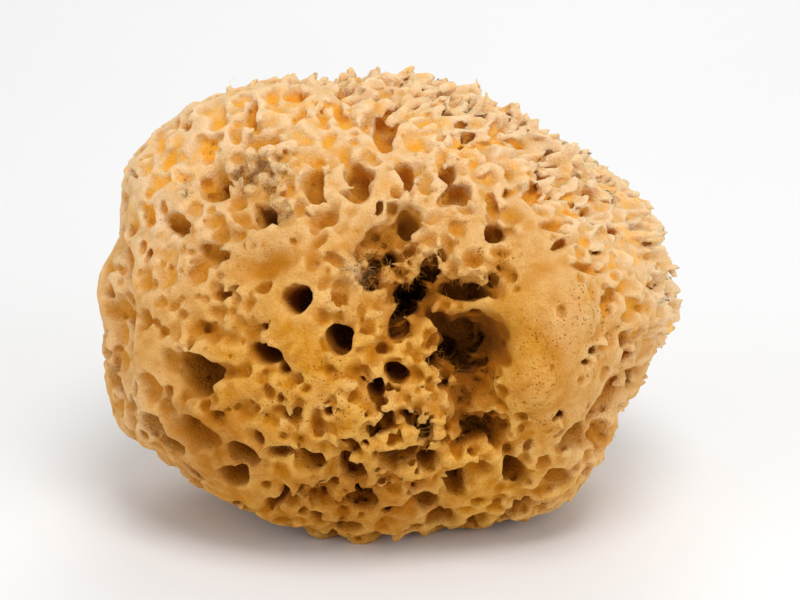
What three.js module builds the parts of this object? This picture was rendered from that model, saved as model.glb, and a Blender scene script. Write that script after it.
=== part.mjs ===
// A natural honeycomb sea sponge, dried and sold for bathing: one grown piece, cut flat where it stood on the rock.
// It is modelled as a round body with the outline of the front view, swollen and sunk in places, and set with
// pores. Where three pores meet, the wall between them rises to a point, low on the worn side and tall on the crown.
// Lengths are in millimetres and angles in degrees. +Z is up, and the front view looks along +Y and a little down.

import * as THREE from "three";
import { ConvexHull } from "three/addons/math/ConvexHull.js";

const { cos, sin, abs, hypot, atan2, min, max, sqrt, floor, PI } = Math;
const { degToRad, clamp, lerp, smoothstep } = THREE.MathUtils;

// The body, in the front view's own axes: x to the right, y up and z towards the viewer, from the body's middle.
const VIEW_TILT = 20; // how far the front view looks down
const EYE = new THREE.Vector3(3, 2, 750); // where the front view is seen from
const MIDDLE = new THREE.Vector3(-0.629, 0.753, 50); // the body's middle, above the cut base
const FRONT_REACH = 52;
const BACK_REACH = 50;
const FULLNESS = 2.25; // 2 would make the body an ellipsoid, and more makes it boxier

// The outline of the body in the front view, anticlockwise from the right, without the points of the crown.
const OUTLINE = [
  [69.5, -4], [71, 1], [70, 6], [66, 15.5], [58.5, 27.5], [47.5, 35.5], [36.5, 42], [25, 47], [12.5, 51], [0, 53],
  [-14, 54], [-28.5, 55.5], [-41, 53.5], [-51.5, 49], [-59.6, 42], [-64.5, 33.5], [-65, 27], [-65, 20],
  [-68.5, 11.5], [-70.5, 4], [-69.3, -4], [-69.7, -12], [-68, -20], [-64.3, -28.5], [-58, -35.2], [-51, -41],
  [-43.5, -46.3], [-33.5, -51.5], [-22, -55.2], [-9.5, -58.3], [3, -57.8], [15.5, -53.8], [28, -51.3], [37, -49.6],
  [44, -46], [49.5, -40.5], [54.5, -33.5], [58, -25.8], [62.5, -18.5], [66, -11],
]; // prettier-ignore

// Slow waves over the body: how fast each runs along x, y and z, where it starts, and its height.
const WAVES = [
  [4.1, 1.3, -2.6, 0.4, 0.9],
  [-2.2, 5.3, 1.9, 1.7, 0.7],
  [1.6, -3.1, 6.2, 2.9, 0.8],
  [7.9, 4.4, 3.3, 0.9, 0.5],
];

// Broad swellings (+) and hollows (-) of the front: centre x and y, half width, half height, lean, and height.
const RELIEF = [
  [38, -4, 13, 31, 8, 4.5], // the smooth plate
  [-13, -22, 26, 20, 0, 2.5], // the low dome left of the cave
  [-37, 30, 17, 11, -8, -6.5], // the dirty basin
  [-1, 15, 10, 14, -25, -7], // the valley
  [7, 3, 9, 13, -38, -9], // the crevice below it
  [20, -9, 12, 18, 4, -10], // the cave
  [22, -29, 8, 8, 0, -6],
  [53, -22, 5.5, 18, -36, -7], // the step behind the plate
  [-64, -2, 4.5, 26, 4, -4.5], // the groove down the left side
  [-28, 10, 10, 5, 22, -3.5], // the smooth scoop
  [-45, -28, 14, 5, -38, -3],
  [-50, -17, 6, 10, 30, -3.5],
];

// The pores of the front: centre x and y as seen, half width, half height, lean, and depth.
const FRONT_PORES = [
  // Upper left, down to the basin
  [-34.3, 48.8, 1.9, 3.3, -15, 5], [-46, 40.3, 2.3, 3.2, -25, 5], [-57.3, 40.8, 2, 2.6, -20, 3],
  [-57.5, 32.3, 1.8, 2, 0, 3], [-42.5, 48.8, 1.7, 2.8, -15, 3], [-22.8, 48.5, 1.4, 2.8, -25, 4],
  [-12.8, 49.8, 1.3, 2.6, 0, 4], [-32.5, 42, 5, 2.7, 5, 6], [-43, 30, 4.2, 4.2, 0, 9], [-31.5, 23.5, 2.9, 3, 0, 15],
  [-53.5, 21.8, 2.7, 3.3, 25, 8], [-43.8, 22.5, 2.7, 1.6, -10, 3.5], [-44, 13.8, 3.9, 2.4, -12, 6],
  [-48, 8.5, 2.7, 2.2, 0, 4], [-42.5, 3.8, 2.2, 2, 0, 6], [-43.3, -1, 1.7, 1.5, 0, 3], [-63.5, 33.5, 1.6, 2.2, -10, 3],
  // Upper middle
  [-0.8, 47, 3.4, 5.8, -4, 8], [-19.3, 31.5, 3.1, 5, 0, 7], [-17.5, 28, 1.2, 1.6, 0, 14], [-7.3, 34, 3.6, 3.6, 0, 9],
  [-7.8, 29, 3.2, 2.6, 30, 6], [4.3, 34.3, 2.3, 3.6, 28, 9], [-16.3, 22.5, 3.8, 2.7, 35, 5],
  [5.8, 22.8, 3.4, 3.6, -20, 9], [-13.3, 40, 3.2, 2.1, 0, 2.5], [7, 41.5, 2, 1.5, 0, 3], [16.3, 41.5, 1.4, 1.6, 0, 3],
  [15.3, 34, 2.2, 2.6, -15, 9], [18, 29, 3.2, 3, 0, 8], [24.8, 37, 4.2, 1.5, 15, 3], [20, 42.5, 2.5, 1.2, 45, 4],
  [32.3, 40.3, 1.5, 1.2, 0, 3], [40.8, 39, 2.7, 2.2, 0, 3], [37.5, 28, 2.7, 1.9, 0, 4], [27, 18.8, 3, 2.8, 0, 9],
  // Upper right, among the points of the crown
  [47, 23.8, 2.7, 1.6, -25, 4], [51.8, 15.3, 1.8, 1.8, 0, 4], [44.3, 16.3, 4, 1.3, 25, 5], [41.3, 20.8, 2.3, 1.5, 0, 4],
  [50.5, 10, 4, 1.2, -5, 4], [59.5, 5, 2.7, 1.3, 10, 3], [55.3, 2.5, 1.7, 1.4, 0, 5],
  // The crevice and the cave
  [13.8, 13.5, 1.5, 2, 0, 12], [11, 9.5, 2.4, 3.8, -30, 16], [6, 3, 3.5, 3, 30, 18], [-5.5, 6.8, 2.5, 2.6, 0, 12],
  [2.8, -4.3, 3.2, 4, 0, 9], [20.5, 5.3, 7, 3.2, 5, 10], [27.3, 5.3, 2.2, 3.2, 0, 14], [20, -7, 6, 4.6, 0, 12],
  [16.8, -11.5, 3.4, 3.6, 0, 11], [20, -15.5, 3.2, 3.4, 0, 15], [11.8, -13.5, 1.9, 2.1, 0, 10],
  [25.8, -27, 1.3, 1.6, 0, 12], [21.8, -30.5, 3, 2.8, 0, 13], [28, -31.8, 2, 3.6, -10, 10],
  // The low dome
  [-23, 2.3, 3.8, 3.6, 0, 14], [-12.5, -8, 3.3, 4, 20, 14], [-31.3, -11.8, 4.7, 2.4, -15, 12],
  [-26.5, -15.5, 1.6, 2, 0, 7], [-31, -4.8, 1, 1.1, 0, 7], [-2.8, -20.8, 2.1, 3, -10, 12], [2.5, -17, 3, 2.7, 0, 11],
  [-8.3, -16.3, 2.4, 1.7, 0, 4], [-3.8, -11.5, 1.8, 2.4, -20, 3], [-15, -15.5, 1.8, 1.3, 0, 4],
  [-23.8, -28.3, 1.8, 1.6, 0, 4], [-17.5, -30.5, 1.9, 1.5, 0, 4], [-27.8, -25.8, 2, 1.5, 0, 3],
  [5.8, -28.8, 1.4, 1.6, 0, 11], [-0.5, -29.5, 1.8, 3, -30, 8], [-3.5, -32.8, 1.3, 1.1, 0, 7],
  // Left side
  [-49, -16.8, 4.2, 6.4, 35, 11], [-41.5, -16.3, 3.5, 2.6, 0, 4], [-40.3, -7.3, 2, 1.7, 0, 3],
  [-47.3, -5.5, 3.2, 2.4, 0, 4], [-43.5, -27, 1.3, 1.1, 0, 5], [-59, -29, 2.4, 3.6, 35, 7],
  [-54.3, -34.5, 3.6, 2.3, -35, 9], [-47, -30.5, 5.8, 2.4, -38, 5], [-64, 9.5, 1.5, 6, 10, 4], [-60, -20, 2, 4.4, 25, 4],
  [-66.5, -6, 1.5, 2.2, 0, 3],
  // Along the bottom
  [-36.5, -36.5, 4.4, 2.9, -28, 10], [-38.8, -42, 4.6, 2.2, -15, 9], [-27, -36, 3.5, 1.9, 8, 12],
  [-32.5, -32.5, 1.1, 2.2, 25, 7], [-29, -48.8, 2.3, 2.3, 0, 8], [-25.8, -46.3, 1.5, 1.5, 0, 6],
  [-19.5, -38.3, 4, 2.5, -30, 8], [-8.8, -41, 4.3, 2.6, -25, 10], [-6.8, -49, 4.3, 2.5, -5, 11],
  [0.5, -38, 2.8, 2.3, 0, 11], [4.8, -37, 3.8, 2.2, 20, 8], [9.8, -38.3, 2.5, 2.5, 0, 13],
  [9.3, -48.5, 3.5, 2.7, 0, 7], [17.3, -44, 3, 3.5, 0, 8], [-9.8, -34.8, 2.8, 1, -35, 6],
  [-13.8, -44, 1.5, 1.2, 0, 6], [-18, -52, 1.8, 1.1, 0, 5],
  // Lower right
  [32.3, -41.5, 4.3, 3, -30, 9], [42.5, -42.3, 3.2, 2.3, 15, 6], [46.3, -31, 3, 4.2, -15, 8],
  [53, -22.5, 2, 6.5, -36, 6], [42.8, -26.8, 1, 1, 0, 8], [51.5, -10.5, 1.2, 1.3, 0, 8], [49.8, -13.5, 1.2, 1, 0, 6],
  [59.3, -8, 2.2, 2.3, 0, 6],
]; // prettier-ignore
const SMALL_PORE = 2; // pores under this half width have five sides
const LARGE_PORE = 3.6; // and from this one on, eight
const FLOOR_SHARE = 0.7; // the floor of a pore, as a share of its mouth
const MOST_STRETCH = 2; // how much longer than it looks a pore near the outline may be

// The pores of the sides, back, top and base are spread evenly, then moved and sized by chance.
const PORE_SPACING = 9.7;
const PORE_STRAY = 0.3; // of the spacing
const PORE_HALF_WIDTHS = [2.2, 4.4];
const PORE_ASPECTS = [1, 1.5];
const PORE_DEPTHS = [5, 9];
const FRONT_LIMIT = 26; // they keep off the front beyond this z, where its own pores are
const WALL = 1.1; // least wall between a spread pore and one before it

// The crown, where the sponge grew freely, has tall points. It is a cap of the body about this direction.
const CROWN_POLE = new THREE.Vector3(0.62, 0.62, -0.48).normalize();
const CROWN_EDGES = [80, 48]; // from the pole: the first points, and full height
const POINT_HEIGHTS = [1.3, 4.5];
const POINT_CLEARANCE = 1.1; // a point stands this far from a pore's axis, in half widths, or isn't there

// The cut base
const BASE_EDGE_POINTS = 30;
const BASE_PLAIN = 13; // no pores open this near its middle
const BASE_POINT_GAP = 4.5;

// How far apart the corners of the surface stay, and how far apart those between the pores are.
const LEAST_GAP = 1.25;
const FILL_SPACING = 7.5;
const GOLDEN_TURN = PI * (3 - sqrt(5));

// From the front view's axes to the part's.
const TO_PART = new THREE.Matrix4().makeRotationX(degToRad(90 - VIEW_TILT));
const TO_VIEW = TO_PART.clone().invert();

// A number from 0 to 1 that looks random and is the same on every run.
function chance(index, use) {
  const x = sin(index * 127.1 + use * 311.7) * 43758.5453;
  return x - floor(x);
}

const between = ([low, high], share) => lerp(low, high, share);

const OUTLINE_POLAR = OUTLINE.map(([x, y]) => [atan2(y, x), hypot(x, y)]).sort((a, b) => a[0] - b[0]);

// How far the outline is from the middle at an angle.
function outlineRadius(angle) {
  const count = OUTLINE_POLAR.length;
  let after = OUTLINE_POLAR.findIndex(([at]) => at > angle);
  if (after < 0) after = 0;
  const [a0, r0] = OUTLINE_POLAR[(after + count - 1) % count];
  const [a1, r1] = OUTLINE_POLAR[after];
  const turn = 2 * PI;
  const span = (a1 - a0 + turn) % turn;
  return lerp(r0, r1, ((angle - a0 + turn) % turn) / span);
}

// A bump of height 1 over an ellipse, flat at its rim.
function bump(x, y, [centreX, centreY, halfWidth, halfHeight, lean]) {
  const c = cos(degToRad(lean));
  const s = sin(degToRad(lean));
  const dx = x - centreX;
  const dy = y - centreY;
  const far = ((c * dx + s * dy) / halfWidth) ** 2 + ((c * dy - s * dx) / halfHeight) ** 2;
  return far < 1 ? (1 - far) ** 2 : 0;
}

// How far the body reaches from its middle in a direction of the view's axes, before the base is cut.
function bodyRadius(d) {
  const across = hypot(d.x, d.y) / outlineRadius(atan2(d.y, d.x));
  const along = abs(d.z) / (d.z > 0 ? FRONT_REACH : BACK_REACH);
  let radius = (across ** FULLNESS + along ** FULLNESS) ** (-1 / FULLNESS);
  if (d.z > 0) {
    const x = d.x * radius;
    const y = d.y * radius;
    radius += RELIEF.reduce((sum, spot) => sum + spot[5] * bump(x, y, spot), 0);
  }
  for (const [fx, fy, fz, start, height] of WAVES) radius += height * sin(fx * d.x + fy * d.y + fz * d.z + start);
  return radius;
}

// How far the plane of the base is from the middle in a direction, or Infinity if it is never met.
function baseRadius(d) {
  const down = -d.clone().transformDirection(TO_PART).z;
  return down > 0 ? MIDDLE.z / down : Infinity;
}

const surfaceRadius = (d) => min(bodyRadius(d), baseRadius(d));

const surfacePoint = (d) => d.clone().multiplyScalar(surfaceRadius(d));

// The point of the body that is seen at (x, y) of the front view.
function seenAt(x, y) {
  const aim = new THREE.Vector3(x, y, 0).sub(EYE);
  const at = (share) => EYE.clone().addScaledVector(aim, share);
  const inside = (share) => {
    const p = at(share);
    const radius = p.length();
    return radius < bodyRadius(p.divideScalar(radius));
  };
  let outer = 1 - (1.5 * FRONT_REACH) / EYE.z;
  let inner = 1;
  if (!inside(inner)) {
    return surfacePoint(new THREE.Vector3(x, y, 0).normalize());
  }
  for (let step = 0; step < 30; step += 1) {
    const middle = (outer + inner) / 2;
    if (inside(middle)) inner = middle;
    else outer = middle;
  }
  return at(outer);
}

// How much of the crown's height its points have in a direction, from 0 to 1.
function crownShare(d) {
  const [edge, full] = CROWN_EDGES.map((angle) => cos(degToRad(angle)));
  return smoothstep(d.dot(CROWN_POLE), edge, full);
}

// A pore is a mouth on the surface, with its half axes as vectors, and a depth.
class Pore {
  constructor(mouth, halfWidth, halfHeight, depth) {
    this.mouth = mouth;
    this.halfWidth = halfWidth;
    this.halfHeight = halfHeight;
    this.depth = depth;
    this.direction = mouth.clone().normalize();
    this.size = sqrt(halfWidth.length() * halfHeight.length());
    this.normal = halfWidth.clone().cross(halfHeight).normalize();
    if (this.normal.dot(mouth) < 0) this.normal.negate();
    this.toOwn = new THREE.Matrix3();
    this.toOwn.set(
      halfWidth.x, halfHeight.x, this.normal.x,
      halfWidth.y, halfHeight.y, this.normal.y,
      halfWidth.z, halfHeight.z, this.normal.z,
    ).invert(); // prettier-ignore
    this.reach = max(halfWidth.length(), halfHeight.length()) * 1.6;
  }

  // How far out a direction is from the pore's axis: 0 there, 1 on its rim.
  spread(d) {
    const facing = d.dot(this.normal);
    if (facing < 0.2) return Infinity;
    const own = d
      .clone()
      .multiplyScalar(this.mouth.dot(this.normal) / facing)
      .sub(this.mouth)
      .applyMatrix3(this.toOwn);
    return hypot(own.x, own.y);
  }

  // The direction at an angle round the pore, and a share of the way out to its rim.
  around(angle, share) {
    return this.mouth
      .clone()
      .addScaledVector(this.halfWidth, share * cos(angle))
      .addScaledVector(this.halfHeight, share * sin(angle))
      .normalize();
  }
}

// The front's pores, each placed where it is seen.
function frontPores() {
  return FRONT_PORES.map(([x, y, halfWidth, halfHeight, lean, depth]) => {
    const halfAxis = (half, angle) => {
      const dx = half * cos(degToRad(angle));
      const dy = half * sin(degToRad(angle));
      const axis = seenAt(x + dx, y + dy).sub(seenAt(x - dx, y - dy)).divideScalar(2);
      return axis.clampLength(half, half * MOST_STRETCH);
    };
    return new Pore(seenAt(x, y), halfAxis(halfWidth, lean), halfAxis(halfHeight, lean + 90), depth);
  });
}

// Directions spread evenly over the sphere, for a spacing in millimetres on the body.
function evenDirections(spacing) {
  const meanRadius = 58;
  const count = Math.round((4 * PI * meanRadius ** 2) / (0.87 * spacing ** 2));
  return Array.from({ length: count }, (_, i) => {
    const height = 1 - (2 * i + 1) / count;
    const ring = sqrt(1 - height ** 2);
    return new THREE.Vector3(ring * cos(i * GOLDEN_TURN), height, ring * sin(i * GOLDEN_TURN));
  });
}

// Two directions across d, turned by an angle.
function crossAxes(d, angle) {
  const first = new THREE.Vector3(0, 0, 1).cross(d);
  if (first.length() < 0.1) first.set(1, 0, 0).cross(d);
  first.normalize().applyAxisAngle(d, angle);
  return [first, d.clone().cross(first)];
}

// The middle of the base, as a direction from the body's middle.
const BASE_MIDDLE = new THREE.Vector3(0, 0, -1).transformDirection(TO_VIEW);

// The pores of the rest of the sponge, none too near to one that is there already.
function spreadPores(pores) {
  evenDirections(PORE_SPACING).forEach((even, i) => {
    const [first, second] = crossAxes(even, 2 * PI * chance(i, 1));
    const stray = (PORE_SPACING * PORE_STRAY * chance(i, 2)) / surfaceRadius(even);
    const d = even.clone().addScaledVector(first, stray).normalize();
    const mouth = surfacePoint(d);
    if (mouth.z > FRONT_LIMIT && crownShare(d) < 0.25) return;
    const onBase = baseRadius(d) <= bodyRadius(d);
    if (onBase && mouth.distanceTo(BASE_MIDDLE.clone().multiplyScalar(MIDDLE.z)) < BASE_PLAIN) return;
    const aspect = sqrt(between(PORE_ASPECTS, chance(i, 3)));
    let size = between(PORE_HALF_WIDTHS, chance(i, 4));
    for (const other of pores) {
      const room = mouth.distanceTo(other.mouth) - other.size - WALL;
      size = min(size, room);
    }
    if (size < PORE_HALF_WIDTHS[0] * 0.6) return;
    const depth = between(PORE_DEPTHS, chance(i, 5)) * (onBase ? 0.6 : 1);
    first.multiplyScalar(size * aspect);
    second.multiplyScalar(size / aspect);
    pores.push(new Pore(mouth, first, second, depth));
  });
  return pores;
}

// The triangles of the hull of a set of directions, which joins each to its neighbours.
function hullTriangles(directions) {
  const place = new Map(directions.map((d, i) => [d, i]));
  const hull = new ConvexHull().setFromPoints(directions);
  return hull.faces.map(({ edge, normal }) => {
    const corners = [edge, edge.next, edge.next.next].map((e) => place.get(e.head().point));
    return { corners, normal };
  });
}

// Where three pores meet: the direction that is as far from all three, and the height of the point there.
function meetingPoints(pores) {
  const made = [];
  for (const { corners, normal } of hullTriangles(pores.map((pore) => pore.direction))) {
    const d = normal.clone().normalize();
    const clear = pores.every((pore) => pore.spread(d) > POINT_CLEARANCE);
    const onBase = baseRadius(d) <= bodyRadius(d) + 2;
    if (!clear || onBase) continue;
    const share = crownShare(d);
    const luck = chance(corners[0] + corners[1] + corners[2], 6);
    made.push({ direction: d, height: between(POINT_HEIGHTS, share) * lerp(0.55, 1.15, luck) });
  }
  return made;
}

// The directions in which the cut edge of the base lies.
function baseEdge() {
  return Array.from({ length: BASE_EDGE_POINTS }, (_, i) => {
    const angle = (2 * PI * i) / BASE_EDGE_POINTS;
    const at = (slope) => {
      const d = new THREE.Vector3(cos(angle) * cos(slope), sin(angle) * cos(slope), -sin(slope));
      return d.transformDirection(TO_VIEW);
    };
    let low = 0;
    let high = PI / 2;
    for (let step = 0; step < 30; step += 1) {
      const slope = (low + high) / 2;
      if (baseRadius(at(slope)) < bodyRadius(at(slope))) high = slope;
      else low = slope;
    }
    return at(high);
  });
}

// All corners of the surface: directions that keep LEAST_GAP from each other, with a height above the surface.
function surfaceCorners(pores, points) {
  const corners = [];
  const add = (direction, height = 0, gap = LEAST_GAP) => {
    const near = gap / surfaceRadius(direction);
    if (corners.every((corner) => corner.direction.distanceTo(direction) > near)) {
      corners.push({ direction, height });
    }
  };
  baseEdge().forEach((d) => add(d));
  points.forEach(({ direction, height }) => add(direction, height));
  const bySize = [...pores].sort((a, b) => b.size - a.size);
  for (const pore of bySize) {
    const sides = pore.size < SMALL_PORE ? 5 : pore.size < LARGE_PORE ? 6 : 8;
    const start = chance(pore.mouth.x, 7) * PI;
    add(pore.direction);
    for (let side = 0; side < sides; side += 1) {
      const angle = start + (2 * PI * side) / sides;
      const rim = pore.around(angle, 1.001);
      if (pores.every((other) => other === pore || other.spread(rim) > 1)) add(rim);
      add(pore.around(angle, FLOOR_SHARE));
    }
  }
  const fillers = evenDirections(FILL_SPACING);
  for (const d of fillers) {
    const onBase = baseRadius(d) <= bodyRadius(d);
    if (pores.every((pore) => pore.spread(d) > 1.2)) add(d, 0, onBase ? BASE_POINT_GAP : FILL_SPACING * 0.5);
  }
  return corners;
}

// How deep the pores have sunk the surface in a direction.
function poreDepth(pores, d) {
  let deepest = 0;
  for (const pore of pores) {
    const share = clamp((1 - pore.spread(d)) / (1 - FLOOR_SHARE), 0, 1);
    deepest = max(deepest, share * pore.depth);
  }
  return deepest;
}

// The closed surface of the sponge.
function spongeGeometry() {
  const pores = spreadPores(frontPores());
  const corners = surfaceCorners(pores, meetingPoints(pores));
  const position = corners.flatMap(({ direction, height }) => {
    const radius = surfaceRadius(direction) + height - poreDepth(pores, direction);
    const p = direction.clone().multiplyScalar(radius).applyMatrix4(TO_PART).add(MIDDLE);
    return p.toArray();
  });
  const triangles = hullTriangles(corners.map((corner) => corner.direction));
  const geometry = new THREE.BufferGeometry();
  geometry.setAttribute("position", new THREE.Float32BufferAttribute(position, 3));
  geometry.setIndex(triangles.flatMap((triangle) => triangle.corners));
  geometry.computeVertexNormals();
  return geometry;
}

const skeleton = new THREE.MeshStandardMaterial({ color: 0xdda866, roughness: 0.95, metalness: 0 });
const spongeBody = new THREE.Mesh(spongeGeometry(), skeleton);
spongeBody.name = "sponge";

const sponge = new THREE.Group();
sponge.add(spongeBody);

export default sponge;
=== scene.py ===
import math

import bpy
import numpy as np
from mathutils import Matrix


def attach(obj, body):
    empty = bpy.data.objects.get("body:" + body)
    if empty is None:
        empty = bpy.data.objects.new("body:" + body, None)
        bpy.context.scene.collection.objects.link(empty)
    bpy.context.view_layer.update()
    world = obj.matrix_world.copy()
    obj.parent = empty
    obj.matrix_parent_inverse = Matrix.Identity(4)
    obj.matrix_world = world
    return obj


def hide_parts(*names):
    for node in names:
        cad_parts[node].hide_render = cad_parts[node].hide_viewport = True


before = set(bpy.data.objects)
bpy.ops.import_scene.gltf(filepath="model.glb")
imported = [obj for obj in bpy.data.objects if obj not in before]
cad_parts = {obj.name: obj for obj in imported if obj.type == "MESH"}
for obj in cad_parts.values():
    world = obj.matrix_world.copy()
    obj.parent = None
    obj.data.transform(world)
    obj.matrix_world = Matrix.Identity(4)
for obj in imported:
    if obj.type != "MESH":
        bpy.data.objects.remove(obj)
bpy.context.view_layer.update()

# A dried honeycomb sea sponge. Its skeleton is carved in a grid of distances, with nearly the same body,
# relief and pores as the solid has, and then meshed. Frayed fibres stand off it.
# Lengths are in millimetres and angles in degrees until a mesh or the camera is made.

import openvdb
from mathutils import Matrix, Vector

MM = 0.001

# The body, as the solid has it, in the front view's axes from its middle: x right, y up, z to the viewer
VIEW_TILT = 20  # how far the front view looks down
EYE = np.array([3, 2, 750.0])  # where the photo was taken from, in the front view's axes
MIDDLE = np.array([-0.629, 0.753, 50])  # the body's middle in the part's axes
FRONT_REACH = 52
BACK_REACH = 50
FULLNESS = 2.25  # 2 would make the body an ellipsoid, and more makes it boxier

# The body's outline in the front view, anticlockwise from the right, without the points of the crown
OUTLINE = np.array([
    [69.5, -4], [71, 1], [70, 6], [66, 15.5], [58.5, 27.5], [47.5, 35.5], [36.5, 42], [25, 47], [12.5, 51],
    [0, 53], [-14, 54], [-28.5, 55.5], [-41, 53.5], [-51.5, 49], [-59.6, 42], [-64.5, 33.5], [-65, 27],
    [-65, 20], [-68.5, 11.5], [-70.5, 4], [-69.3, -4], [-69.7, -12], [-68, -20], [-64.3, -28.5],
    [-58, -35.2], [-51, -41], [-43.5, -46.3], [-33.5, -51.5], [-22, -55.2], [-9.5, -58.3], [3, -57.8],
    [15.5, -53.8], [28, -51.3], [37, -49.6], [44, -46], [49.5, -40.5], [54.5, -33.5], [58, -25.8],
    [62.5, -18.5], [66, -11],
])

# Slow waves over the body: how fast each runs along x, y and z, where it starts, and its height
WAVES = [
    (4.1, 1.3, -2.6, 0.4, 0.9),
    (-2.2, 5.3, 1.9, 1.7, 0.7),
    (1.6, -3.1, 6.2, 2.9, 0.8),
    (7.9, 4.4, 3.3, 0.9, 0.5),
]

# Broad swellings (+) and hollows (-) of the front: centre x and y, half width, half height, lean and height
RELIEF = [
    (38, -4, 13, 31, 8, 4.5),  # the smooth plate
    (-13, -22, 26, 20, 0, 2.5),  # the low dome left of the cave
    (-37, 30, 17, 11, -8, -6.5),  # the dirty basin
    (-1, 15, 10, 14, -25, -7),  # the valley
    (7, 3, 9, 13, -38, -9),  # the crevice below it
    (20, -9, 12, 18, 4, -10),  # the cave
    (22, -29, 8, 8, 0, -6),
    (53, -22, 5.5, 18, -36, -7),  # the step behind the plate
    (-64, -2, 4.5, 26, 4, -4.5),  # the groove down the left side
    (-28, 10, 10, 5, 22, -3.5),  # the smooth scoop
    (-45, -28, 14, 5, -38, -3),
    (-50, -17, 6, 10, 30, -3.5),
]

# Finer swellings and hollows of the front, in the same way
FINE_RELIEF = [
    (31, -17, 7, 12, 5, 5),  # the plate's edge over the cave
    (20, -23, 5, 5, 0, 3),  # the cave's sill
]

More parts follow.
